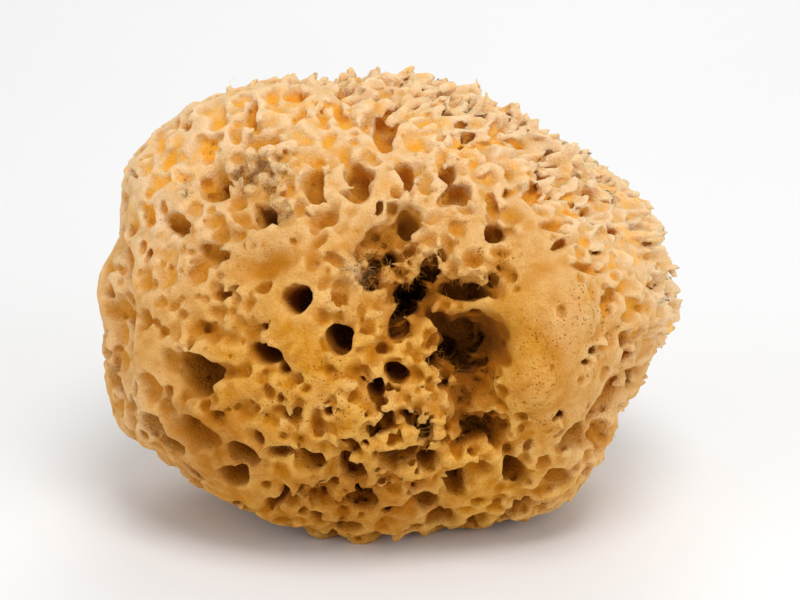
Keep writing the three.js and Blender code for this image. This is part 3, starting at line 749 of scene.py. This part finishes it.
# Raises a tongue of thin skin from a root, out along its own way and flat across it. The ruffle makes it wavy
# and notches its end.
def add_leaf(
    field, root, out, flat, length, half_width, half_thick, bend, cup, point, blend, ruffle=0.0, phase=0.0
):
    where, coordinates = local(root + out * length / 2, length / 2 + half_width + 1.5)
    across, through, along = along_axes(where, coordinates, root, (flat, np.cross(out, flat), out))
    notch = 1 - 0.4 * ruffle * (1 + np.sin(across * RUFFLE_TURNS[1] + 3 * phase))
    share = np.clip(along / (length * notch), 0, 1)
    width = half_width * (1 - share) ** point * (1 + 0.8 * share)
    rim = np.clip(np.abs(across) / half_width, 0, 1)
    thick = half_thick * (1 - 0.45 * share) * (1 - 0.35 * rim * rim)
    wave = ruffle * share * np.sin(across * RUFFLE_TURNS[0] + 0.5 * along + phase)
    through = through - bend * share * share - cup * across * across / half_width - wave
    leaf = np.hypot(np.maximum(np.abs(across) - width + thick, 0), through) - thick
    leaf = np.maximum(leaf, np.maximum(along - length * notch, -2 - along))
    field[where] = smooth_min(field[where], leaf, blend)


PETAL_SPACING = 5.2
PETAL_LENGTHS = (3.8, 8.6)
PETAL_SLOPES = (20, 62)  # from the body's surface
PETAL_HALF_WIDTHS = (2.0, 4.0)
PETAL_HALF_THICKNESSES = (0.55, 0.9)
PETAL_RUFFLES = (0.05, 0.3)
PETAL_SINK = 1.0  # how far a petal's root lies inside the body


# The crown's petals, which lie over each other along the folds.
def add_petals(field, pores, random):
    mouths = np.array([pore.mouth for pore in pores])
    sizes = np.array([pore.size for pore in pores])
    for _, d in strayed_directions(PETAL_SPACING, 0.6, 31):
        share = crown_share(d)
        if share < 0.05 or base_radius(d) < 64:
            continue
        root = surface_point(d)
        if (np.linalg.norm(mouths - root, axis=1) / sizes).min() < 0.85:
            continue
        along = fold_way(d, random.normal(0, 0.5))
        slope = math.radians(random.uniform(*PETAL_SLOPES))
        out = unit(d * math.sin(slope) + along * math.cos(slope))
        flat = unit(np.cross(out, d))
        roll = random.normal(0, 0.55)
        flat = flat * math.cos(roll) + np.cross(out, flat) * math.sin(roll)
        place = TO_PART @ (root * (1 - PETAL_SINK / np.linalg.norm(root))) + MIDDLE
        add_leaf(
            field, place, TO_PART @ out, TO_PART @ flat,
            length=lerp(*PETAL_LENGTHS, share) * random.uniform(0.65, 1.1),
            half_width=random.uniform(*PETAL_HALF_WIDTHS) * lerp(0.6, 1, share),
            half_thick=random.uniform(*PETAL_HALF_THICKNESSES),
            bend=random.normal(0, 1.0),
            cup=random.normal(0, 0.2),
            point=random.uniform(0.45, 0.85),
            blend=1.0,
            ruffle=random.uniform(*PETAL_RUFFLES),
            phase=random.uniform(0, 6),
        )


FOLD_STEPS = np.array([8.0, 2.1, 2.1])  # the size of the crown's fine folds, along them and across
FOLD_HEIGHT = 1.9
FOLD_SHARPNESS = 1.6
FOLD_SINK = 0.3  # how much of the height lies below the surface between the folds
FOLD_REACH = 100  # how far from the middle the folds are worked out


# Fine folds over the crown and its petals: thin crests that run along the fold way.
def add_folds(field, random):
    near = np.flatnonzero(np.abs(field) < 3)
    steps = np.stack(np.unravel_index(near, GRID_SHAPE), axis=1)
    places = to_view(steps * VOXEL + GRID_LOW)
    share = crown_share(unit(places))
    chosen = share > 0.02
    along = unit(FOLD_WAY)
    first, second = cross_axes(along, 0)
    places = places[chosen] @ np.stack([along, first, second], axis=1)
    lattice = random.standard_normal(tuple((2 * FOLD_REACH / FOLD_STEPS).astype(int)))
    waves = sample(lattice, places, -FOLD_REACH, FOLD_STEPS)
    crest = np.maximum(1 - FOLD_SHARPNESS * np.abs(waves), 0)
    field[tuple(steps[chosen].T)] -= FOLD_HEIGHT * share[chosen] * (crest - FOLD_SINK)


FLAKES = 480
RAGGED_FLAKES = 170
FLAKE_LENGTHS = (1.2, 3.2)
FLAKE_HALF_WIDTHS = (0.7, 1.6)
FLAKE_HALF_THICK = 0.42
CALM_LEFT = -42  # left of this in the front view, and below the next, no flakes stand
CALM_FOOT = -44


# Torn flakes of skin on the ridges, and more of them in the ragged places.
def add_flakes(field, surface, random):
    ridges = surface.ridges(RIDGE_SHARE)
    ragged = surface.within(ridges, RAGGED_PLACES) > 0.1
    seen = to_view(surface.places[ridges])
    calm = surface.within(ridges, SMOOTH_PLACES) > 0.15
    calm |= (seen[:, 0] < CALM_LEFT) | (seen[:, 1] < CALM_FOOT)
    torn = random.choice(ridges[ragged], RAGGED_FLAKES, replace=False)
    rest = random.choice(ridges[~calm], FLAKES, replace=False)
    chosen = np.concatenate([torn, rest])
    ways = unit(surface.outward(chosen) + random.normal(0, 0.3, (len(chosen), 3)))
    for voxel, out in zip(chosen, ways):
        flat, _ = cross_axes(out, random.uniform(0, math.pi))
        add_leaf(
            field, surface.places[voxel] - out * 0.6, out, flat,
            length=lerp(*FLAKE_LENGTHS, random.random() ** 2),
            half_width=random.uniform(*FLAKE_HALF_WIDTHS),
            half_thick=FLAKE_HALF_THICK,
            bend=random.normal(0, 0.5),
            cup=random.normal(0, 0.2),
            point=random.uniform(0.7, 1.2),
            blend=0.7,
        )


# Heights and spacings of the noise on the body, in the pores' warp, on the ragged places and on the skin
BODY_NOISE = [(0.45, 9.0), (0.4, 4.5)]
WARP_NOISE = [(0.8, 4.2), (0.22, 1.8)]
RAGGED_NOISE = [(0.9, 3.0), (0.5, 1.6)]
SKIN_NOISE = [(0.16, 1.7), (0.1, 1.1)]


# The skeleton's distance grid, and how deep each place of it lies in the whole body.
def sponge_field(random):
    outside, outside_plain, height, ragged = envelope()
    share = (height - POINT_HEIGHTS[0]) / (POINT_HEIGHTS[1] - POINT_HEIGHTS[0])
    lift = height * lerp(1, CROWN_LIFT, share)
    depth = lift - outside + RELIEF_DEPTH * np.maximum(outside - outside_plain, 0)
    field = outside - lift + BODY_SINK
    for bump_height, spacing in BODY_NOISE:
        field += bump_height * noise(random, spacing)
    warp = [layers(random, WARP_NOISE) for _ in range(3)]
    less_warp = [PHOTO_WARP * part for part in warp]
    pores = front_pores(FRONT_PORES)
    spread = spread_pores(list(pores))[len(pores):]
    carve_dents(field, warp, random)
    for index, pore in enumerate(pores):
        carve_pore(field, pore, less_warp, index, 0.75, 0.8, swell=0.05)
    for index, pore in enumerate(front_pores(CAVE_PORES)):
        carve_pore(field, pore, warp, index + 250, 0.3, 0.6)
    for index, pore in enumerate(spread):
        carve_pore(field, pore, warp, index + 500, 0.75, 0.8)
    for index, pore in enumerate(frill_pores()):
        carve_pore(field, pore, less_warp, index + 1500, 0.4, 0.9)
    add_petals(field, spread, random)
    add_folds(field, random)
    field += ragged * layers(random, RAGGED_NOISE)
    surface = Surface(field)
    carve_ragged_holes(field, surface, warp, random)
    carve_pinholes(field, surface, random)
    surface = Surface(field)
    add_flakes(field, surface, random)
    add_strands(field, surface, random)
    add_lumps(field, surface, depth, random)
    field += layers(random, SKIN_NOISE)
    carve_small_holes(field, random)
    return np.maximum(field, -GRID_AXES[2][None, None, :]), depth


def mesh_of(name, points, faces):
    mesh = bpy.data.meshes.new(name)
    sides = faces.shape[1]
    mesh.vertices.add(len(points))
    mesh.vertices.foreach_set("co", np.asarray(points, dtype=np.float32).ravel())
    mesh.loops.add(faces.size)
    mesh.loops.foreach_set("vertex_index", faces.astype(np.int32).ravel())
    mesh.polygons.add(len(faces))
    mesh.polygons.foreach_set("loop_start", np.arange(0, faces.size, sides, dtype=np.int32))
    mesh.polygons.foreach_set("use_smooth", np.ones(len(faces), dtype=bool))
    mesh.update(calc_edges=True)
    mesh.validate()
    return mesh


# Keeps the largest joined part of a surface: loose crumbs and closed holes inside go.
def largest_part(points, faces):
    first = np.concatenate([faces[:, 0], faces[:, 1], faces[:, 2]])
    second = np.concatenate([faces[:, 1], faces[:, 2], faces[:, -1]])
    label = np.arange(len(points))
    while True:
        least = np.minimum(label[first], label[second])
        new = label.copy()
        np.minimum.at(new, first, least)
        np.minimum.at(new, second, least)
        new = new[new[new]]
        if np.array_equal(new, label):
            break
        label = new
    biggest = np.argmax(np.bincount(label))
    kept = label == biggest
    place = np.cumsum(kept) - 1
    return points[kept], place[faces[kept[faces[:, 0]]]]


TRIANGLES = 196_000


# A mesh of quads as one of fewer triangles.
def thinned(mesh, name, most):
    whole = bpy.data.objects.new(name, mesh)
    bpy.context.scene.collection.objects.link(whole)
    thin = whole.modifiers.new("thin", "DECIMATE")
    thin.ratio = most / (2 * len(mesh.polygons))
    thin.use_collapse_triangulate = True
    seen = whole.evaluated_get(bpy.context.evaluated_depsgraph_get())
    result = bpy.data.meshes.new_from_object(seen)
    bpy.data.objects.remove(whole)
    bpy.data.meshes.remove(mesh)
    result.name = name
    return result


# The values of a grid at places, between its voxels.
def sample(grid, places, low=GRID_LOW, spacing=VOXEL):
    at = (places - low) / spacing
    base = np.clip(np.floor(at).astype(int), 0, np.array(grid.shape) - 2)
    part = np.clip(at - base, 0, 1)
    total = 0
    for corner in range(8):
        step = np.array([corner & 1, corner >> 1 & 1, corner >> 2 & 1])
        share = np.prod(np.where(step, part, 1 - part), axis=1)
        total = total + share * grid[tuple((base + step).T)]
    return total


def add_values(mesh, name, values):
    layer = mesh.attributes.new(name, "FLOAT", "POINT")
    layer.data.foreach_set("value", np.asarray(values, dtype=np.float32))


FRESH_AND_LIT_HEIGHTS = (-12, 56)  # up the front view: where the oldest, brownest part ends and the palest begins; the brown low down is partly painted shade and the pale high up partly painted light
FRESH_AND_LIT_RIGHT = (24, 60)  # and across it, since both sides are paler too, partly as painted light
FRESH_AND_LIT_LEFT = (32, 62)
RIGHT_FRESH_AND_LIT = 0.5
LEFT_FRESH_AND_LIT = 0.45
CROWN_FRESH_AND_LIT = 0.6


# How newly grown, and so how pale, the skeleton is. The same share also paints light and shade: paler to the
# top, the sides and the crown as painted light, browner low down as painted shade.
def fresh_and_lit_share(places):
    p = to_view(places)
    up = smoothstep(p[:, 1], *FRESH_AND_LIT_HEIGHTS)
    right = RIGHT_FRESH_AND_LIT * smoothstep(p[:, 0], *FRESH_AND_LIT_RIGHT)
    left = LEFT_FRESH_AND_LIT * smoothstep(-p[:, 0], *FRESH_AND_LIT_LEFT)
    return np.clip(up + CROWN_FRESH_AND_LIT * crown_share(unit(p)) + (right + left), 0, 1)


def skeleton_piece(field, depth):
    volume = openvdb.FloatGrid(3.0)
    volume.copyFromArray(np.clip(field, -3, 3))
    points, _, quads = volume.convertToPolygons(isovalue=0.0, adaptivity=0.0)
    points, quads = largest_part(points.astype(float) * VOXEL + GRID_LOW, quads.astype(np.int64))
    mesh = thinned(mesh_of("sponge_grid", points, quads), "sponge_skeleton", TRIANGLES)
    places = np.empty(len(mesh.vertices) * 3, dtype=np.float32)
    mesh.vertices.foreach_get("co", places)
    places = places.reshape(-1, 3).astype(float)
    solid = np.clip(0.5 - field / VOXEL, 0, 1).astype(np.float32)
    edge = sample(box_mean(solid, 3), places)
    hollow = sample(box_mean(solid, 9), places)
    add_looks(mesh, places, sample(depth, places), edge, hollow)
    return finish_piece(mesh, places)


# Gives each point of a mesh what its colour is worked out from. Edge is how full the space close to it is,
# and hollow how full it is further round;
# the colour paints highlight where they are low and shade where they are high.
def add_looks(mesh, places, depth, edge, hollow):
    add_values(mesh, "depth", depth)
    add_values(mesh, "edge", edge)
    add_values(mesh, "hollow", hollow)
    add_values(mesh, "dirt", spot_share(to_view(places), DIRTY_PLACES))
    add_values(mesh, "pinhole_shade", spot_share(to_view(places), PINHOLE_SHADE_PLACES))
    add_values(mesh, "painted_foot_shade", spot_share(to_view(places), PAINTED_SHADE_FOOT_PLACES))
    add_values(mesh, "fresh_and_lit", fresh_and_lit_share(places))


def finish_piece(mesh, places):
    mesh.vertices.foreach_set("co", (places * MM).ravel().astype(np.float32))
    mesh.update()
    piece = bpy.data.objects.new(mesh.name, mesh)
    bpy.context.scene.collection.objects.link(piece)
    return piece


FUZZY_PLACES = [
    (14, -14, 6, 4, 0), (-6, 9, 8, 9, 0), (-28, -34, 5, 5, 0), (21, -30, 5, 4, 0), (17, 23, 6, 5, 0),
    (-33, 31, 8, 6, 0), (-33, -21, 8, 5, 0),
]
FIBRES = 1300
FIBRE_LENGTHS = (0.7, 2.8)
FIBRE_RADIUS = 0.055
FIBRE_BEND = 1.6
FIBRE_SINK = 0.3  # how far a fibre's root lies inside the skeleton
STRAY_FIBRES = 0.004  # the chance of one on a plain ridge, against 1 in the middle of a fuzzy place
RAGGED_FIBRES = 0.4  # and in the middle of a ragged one
FIBRE_STEPS = 6  # rings along a fibre
FIBRE_SIDES = 4


# Loose fibres that stand off the ridges, most of them in the ragged and fuzzy places.
def fibres_piece(depth, surface, random):
    ridges = surface.ridges(2 * RIDGE_SHARE)
    chance_of = STRAY_FIBRES + RAGGED_FIBRES * surface.within(ridges, RAGGED_PLACES)
    chance_of = chance_of + surface.within(ridges, FUZZY_PLACES)
    chosen = random.choice(ridges, FIBRES, replace=False, p=chance_of / chance_of.sum())
    ways = unit(surface.outward(chosen) + random.normal(0, 0.5, (len(chosen), 3)))
    rows = []
    for voxel, out in zip(chosen, ways):
        flat, side = cross_axes(out, random.uniform(0, math.pi))
        length = lerp(*FIBRE_LENGTHS, random.random() ** 2)
        bend = random.normal(0, FIBRE_BEND)
        phase = random.uniform(0, 6)
        root = surface.places[voxel] - out * FIBRE_SINK
        rows.append(np.concatenate([root, out, flat, side, [length, bend, phase]]))
    return fibre_mesh(np.array(rows), depth)


# Closed tubes that taper from a root along their way out and bend aside.
def fibre_mesh(rows, depth):
    root, out, flat, side = (rows[:, None, None, start:start + 3] for start in (0, 3, 6, 9))
    length, bend, phase = (rows[:, column, None, None] for column in (12, 13, 14))
    share = np.linspace(0, 0.94, FIBRE_STEPS)[None, :, None]
    turn = (2 * math.pi * np.arange(FIBRE_SIDES) / FIBRE_SIDES)[None, None, :]
    width = FIBRE_RADIUS * (1 - share) ** 0.6 * (1 + 0.8 * share)
    width = width * (1 + 0.16 * np.sin(7 * share + phase + 1.5 * np.sign(np.cos(turn))))
    ripple = 0.22 * FIBRE_RADIUS * np.sin(5 * share + 2 * phase) * np.cos(turn)
    across = np.cos(turn) * width
    through = np.sin(turn) * FIBRE_RADIUS * (1 - 0.75 * share) + bend * share**2 + ripple * share
    along = share * length + 0 * turn
    rings = root + out * along[..., None] + flat * across[..., None] + side * through[..., None]
    tips = (root + out * length[..., None] + side * bend[..., None])[:, 0]
    places = np.concatenate([rings.reshape(len(rows), -1, 3), tips, root[:, 0]], axis=1).reshape(-1, 3)
    mesh = mesh_of("sponge_fibres", places, tube_faces(len(rows), FIBRE_STEPS, FIBRE_SIDES))
    # Painted highlight and shade: the tips and sides take the pale of ridges, the roots the amber of hollows
    rim = np.maximum(np.abs(np.cos(turn)) ** 4 * np.ones_like(along), share**2)
    edge = lerp(0.6, 0.34, with_ends(rim))
    hollow = lerp(0.7, 0.42, smoothstep(with_ends(share + 0 * along), 0.1, 0.6))
    add_looks(mesh, places, sample(depth, places), edge, hollow)
    return finish_piece(mesh, places)


# A value for each point of the tubes' rings, then 1 at the tip and 0 at the root.
def with_ends(values):
    tubes = len(values)
    ends = [np.ones((tubes, 1)), np.zeros((tubes, 1))]
    return np.concatenate([values.reshape(tubes, -1), *ends], axis=1).ravel()


# The triangles of one tube after another: rings along each, a tip, and a cap at the root.
def tube_faces(tubes, steps, sides):
    step, side = np.meshgrid(np.arange(steps - 1), np.arange(sides), indexing="ij")
    a = (step * sides + side).ravel()
    b = (step * sides + (side + 1) % sides).ravel()
    walls = np.concatenate([np.stack([a, b, b + sides], axis=1), np.stack([a, b + sides, a + sides], axis=1)])
    ring = np.arange(sides)
    after = (ring + 1) % sides
    last = (steps - 1) * sides
    tip = np.stack([last + ring, last + after, np.full(sides, steps * sides)], axis=1)
    cap = np.stack([after, ring, np.full(sides, steps * sides + 1)], axis=1)
    one = np.concatenate([walls, tip, cap])
    return (one[None] + (steps * sides + 2) * np.arange(tubes)[:, None, None]).reshape(-1, 3)


# Materials. A colour is in sRGB, from 0 to 255, as it is read off the photo.
def linear(red, green, blue):
    def channel(value):
        share = value / 255
        return share / 12.92 if share <= 0.04045 else ((share + 0.055) / 1.055) ** 2.4

    return (channel(red), channel(green), channel(blue), 1)


class Nodes:
    def __init__(self, name):
        self.material = bpy.data.materials.new(name)
        self.material.use_nodes = True
        self.tree = self.material.node_tree
        self.tree.nodes.clear()

    def add(self, kind, **inputs):
        node = self.tree.nodes.new(kind)
        for key, value in inputs.items():
            self.put(node, key, value)
        return node

    def put(self, node, key, value):
        socket = node.inputs[key]
        if isinstance(value, bpy.types.NodeSocket):
            self.tree.links.new(value, socket)
        else:
            socket.default_value = value

    def value(self, name):
        node = self.add("ShaderNodeAttribute")
        node.attribute_name = name
        return node.outputs["Fac"]

    def place(self):
        return self.add("ShaderNodeTexCoord").outputs["Object"]

    def noise(self, size, detail, rough=0.6):
        node = self.add("ShaderNodeTexNoise", Scale=1 / (size * MM), Detail=detail, Roughness=rough)
        self.put(node, "Vector", self.place())
        return node.outputs["Fac"]

    def cells(self, size):
        node = self.add("ShaderNodeTexVoronoi", Scale=1 / (size * MM), Vector=self.place())
        return node.outputs["Distance"]

    def spread(self, value, from_low, from_high, to_low=0.0, to_high=1.0):
        node = self.tree.nodes.new("ShaderNodeMapRange")
        for socket, number in enumerate((value, from_low, from_high, to_low, to_high)):
            self.put(node, socket, number)
        return node.outputs["Result"]

    def math(self, operation, first, second):
        node = self.tree.nodes.new("ShaderNodeMath")
        node.operation = operation
        self.put(node, 0, first)
        self.put(node, 1, second)
        return node.outputs[0]

    def mix(self, share, first, second):
        node = self.tree.nodes.new("ShaderNodeMix")
        node.data_type = "RGBA"
        self.put(node, 0, share)
        self.put(node, 6, first)
        self.put(node, 7, second)
        return node.outputs[2]

    def finish(self, shader):
        output = self.add("ShaderNodeOutputMaterial")
        self.put(output, "Surface", shader.outputs["BSDF"])
        return self.material


# The skeleton's colours where it is newly grown and painted as lit, and where it is old and painted as shaded
FRESH_LIT_RIDGE = linear(236, 208, 172)
FRESH_LIT_FLESH = linear(218, 177, 124)
FRESH_LIT_AMBER = linear(246, 176, 62)
OLD_SHADED_RIDGE = linear(232, 178, 88)
OLD_SHADED_FLESH = linear(203, 134, 24)
OLD_SHADED_AMBER = linear(170, 99, 12)
# Painted shade: brown for the pores' insides and for pinholes, near black for the deepest
PAINTED_SHADE_BROWN = linear(120, 66, 14)
PAINTED_SHADE_DARK = linear(54, 26, 4)
DUST = linear(214, 180, 134)
MOULD = linear(120, 90, 34)


def skeleton_material():
    nodes = Nodes("spongin")
    broad = nodes.noise(14, detail=3)
    fine = nodes.noise(2.2, detail=6, rough=0.7)
    cells = nodes.cells(0.85)
    # The fresh and lit share mixes the old colours, partly painted shade, with the fresh ones, partly painted
    # light.
    fresh_and_lit = nodes.math("ADD", nodes.value("fresh_and_lit"), nodes.spread(broad, 0.3, 0.7, -0.15, 0.15))
    amber = nodes.mix(fresh_and_lit, OLD_SHADED_AMBER, FRESH_LIT_AMBER)
    colour = skin_colour(nodes, fresh_and_lit, amber, fine)
    colour = depth_painted_shade(nodes, colour, fresh_and_lit, amber, broad)
    grain = nodes.noise(0.5, detail=3, rough=0.7)
    colour = nodes.mix(nodes.spread(grain, 0.35, 0.7, 0.0, 0.35), colour, amber)
    colour = dirty_colour(nodes, colour, fine)
    # Painted shade: brown dots for pinholes
    colour = nodes.mix(pinhole_shade_share(nodes, cells, fine, broad), colour, PAINTED_SHADE_BROWN)
    shader = nodes.add("ShaderNodeBsdfPrincipled", Roughness=0.95)
    nodes.put(shader, "Base Color", colour)
    nodes.put(shader, "Normal", felt_bump(nodes, cells))
    shader.inputs["Specular IOR Level"].default_value = 0.04
    shader.inputs["Sheen Weight"].default_value = 0.04
    shader.inputs["Sheen Roughness"].default_value = 0.5
    shader.inputs["Sheen Tint"].default_value = (1, 0.75, 0.45, 1)
    nodes.put(shader, "Subsurface Weight", nodes.spread(fresh_and_lit, 0.0, 1.0, 0.2, 0.5))
    shader.inputs["Subsurface Radius"].default_value = (1.0, 0.62, 0.25)
    shader.inputs["Subsurface Scale"].default_value = 1.7 * MM
    return nodes.finish(shader)


# Painted highlight and shade: pale on the ridges and amber in the hollows, by how full the space round is,
# and in random patches of both.
def skin_colour(nodes, fresh_and_lit, amber, fine):
    patches = nodes.noise(5, detail=3)
    pale = nodes.mix(fresh_and_lit, OLD_SHADED_RIDGE, FRESH_LIT_RIDGE)
    flesh = nodes.mix(fresh_and_lit, OLD_SHADED_FLESH, FRESH_LIT_FLESH)
    edge = nodes.math("ADD", nodes.value("edge"), nodes.math("MULTIPLY", fine, 0.14))
    colour = nodes.mix(nodes.spread(edge, 0.36, 0.6), pale, flesh)
    colour = nodes.mix(nodes.spread(edge, 0.61, 0.76, 0.0, 0.8), colour, amber)
    # Painted shade: old amber over the lower left and the bottom
    colour = nodes.mix(nodes.math("MULTIPLY", nodes.value("painted_foot_shade"), 0.75), colour, OLD_SHADED_AMBER)
    hollow = nodes.math("ADD", nodes.value("hollow"), nodes.math("MULTIPLY", fine, 0.06))
    hollow = nodes.math("ADD", hollow, nodes.math("MULTIPLY", fresh_and_lit, 0.06))
    # Painted shade: amber where the space further round is full, more of it where fresh and lit
    colour = nodes.mix(nodes.spread(hollow, 0.56, 0.7), colour, amber)
    colour = nodes.mix(nodes.spread(patches, 0.52, 0.66, 0.0, 0.4), colour, pale)
    return nodes.mix(nodes.spread(patches, 0.48, 0.34, 0.0, 0.5), colour, amber)


# Painted shade in the pores: the deeper in the sponge, the darker, and less so where it is newly grown and
# painted as lit.
def depth_painted_shade(nodes, colour, fresh_and_lit, amber, broad):
    sunk = nodes.math("MULTIPLY", nodes.value("depth"), nodes.spread(fresh_and_lit, 0.0, 1.0, 1.15, 0.34))
    sunk = nodes.math("ADD", sunk, nodes.math("MULTIPLY", broad, 3.0))
    for low, high, tint in ((3.5, 8.0, amber), (6.0, 12.5, PAINTED_SHADE_BROWN), (12.0, 20.0, PAINTED_SHADE_DARK)):
        colour = nodes.mix(nodes.spread(sunk, low, high), colour, tint)
    return colour


# Pale dust and specks of mould in the dirty places.
def dirty_colour(nodes, colour, fine):
    dirt = nodes.value("dirt")
    colour = nodes.mix(nodes.math("MULTIPLY", dirt, nodes.spread(fine, 0.42, 0.6)), colour, DUST)
    mouldy = nodes.math("MULTIPLY", nodes.spread(dirt, 0.1, 0.5), nodes.spread(fine, 0.66, 0.6))
    specks = nodes.spread(nodes.noise(1.3, detail=4, rough=0.75), 0.5, 0.68, 0.0, 0.85)
    return nodes.mix(nodes.math("MULTIPLY", specks, mouldy), colour, MOULD)


# Painted shade of small pinholes as brown dots, thick in the listed places and in loose clusters elsewhere.
def pinhole_shade_share(nodes, cells, fine, broad):
    spots = nodes.spread(cells, 0.36, 0.2)
    clusters = nodes.spread(broad, 0.55, 0.65, 0.0, 0.5)
    where = nodes.math("MAXIMUM", nodes.spread(nodes.value("pinhole_shade"), 0.02, 0.3), clusters)
    where = nodes.math("MULTIPLY", where, nodes.spread(fine, 0.47, 0.56, 0.0, 0.8))
    return nodes.math("MULTIPLY", spots, where)


# The skeleton's felt: a fine net of cells over finer fuzz.
def felt_bump(nodes, cells):
    cells = nodes.spread(cells, 0.0, 0.55)
    height = nodes.math("ADD", nodes.math("MULTIPLY", cells, 0.5), nodes.noise(0.5, detail=2, rough=0.7))
    bumps = nodes.add("ShaderNodeBump", Strength=0.9, Distance=0.5 * MM)
    nodes.put(bumps, "Height", height)
    return bumps.outputs["Normal"]


FLOOR_SHADES = (0.84, 0.8274)


def floor_material():
    nodes = Nodes("floor_white")
    light, dark = ((shade, shade, shade, 1) for shade in FLOOR_SHADES)
    shader = nodes.add("ShaderNodeBsdfPrincipled", Roughness=0.8)
    nodes.put(shader, "Base Color", nodes.mix(nodes.noise(60, detail=2), light, dark))
    return nodes.finish(shader)


# Floor, lights and camera
def add_floor():
    bpy.ops.mesh.primitive_plane_add(size=4)
    floor = bpy.context.object
    floor.name = "floor"
    floor.data.materials.append(floor_material())


# The lamps: place and width in metres, and power in watts
LAMPS = {
    "key": ((0.1, -0.38, 0.95), 0.5, 4.9),
    "fill": ((0.8, -0.7, 0.45), 0.9, 4.4),
    "left": ((-0.9, -0.5, 0.35), 0.8, 3.1),
    "back": ((0.1, 0.9, 0.7), 0.8, 4),
}
LAMP_AIM = Vector((0, 0, 0.05))
DAYLIGHT = 0.45  # the strength of the white all round


def add_lamp(name, place, size, power):
    data = bpy.data.lights.new(name, "AREA")
    data.shape = "DISK"
    data.size = size
    data.energy = power
    lamp = bpy.data.objects.new(name, data)
    lamp.location = place
    aim = LAMP_AIM - Vector(place)
    lamp.rotation_euler = aim.to_track_quat("-Z", "Y").to_euler()
    bpy.context.scene.collection.objects.link(lamp)


def add_lights():
    for name, (place, size, power) in LAMPS.items():
        add_lamp(name, place, size, power)
    world = bpy.data.worlds.new("studio")
    world.use_nodes = True
    background = world.node_tree.nodes["Background"]
    background.inputs["Color"].default_value = (1, 1, 1, 1)
    background.inputs["Strength"].default_value = DAYLIGHT
    bpy.context.scene.world = world


def add_camera():
    data = bpy.data.cameras.new("camera")
    data.lens = 135
    data.sensor_width = 36
    data.clip_start = 0.01
    camera = bpy.data.objects.new("camera", data)
    bpy.context.scene.collection.objects.link(camera)
    place = (TO_PART @ EYE + MIDDLE) * MM
    camera.matrix_world = Matrix.Translation(place) @ Matrix(TO_PART.tolist()).to_4x4()
    bpy.context.scene.camera = camera
    bpy.context.scene.view_settings.view_transform = "Standard"


def main():
    random = np.random.default_rng(SEED)
    add_camera()
    add_lights()
    add_floor()
    field, depth = sponge_field(random)
    surface = Surface(field)
    skeleton = skeleton_piece(field, depth)
    pieces = [skeleton, fibres_piece(depth, surface, random)]
    material = skeleton_material()
    for piece in pieces:
        piece.data.materials.append(material)
        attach(piece, "root")
    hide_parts("sponge")


main()
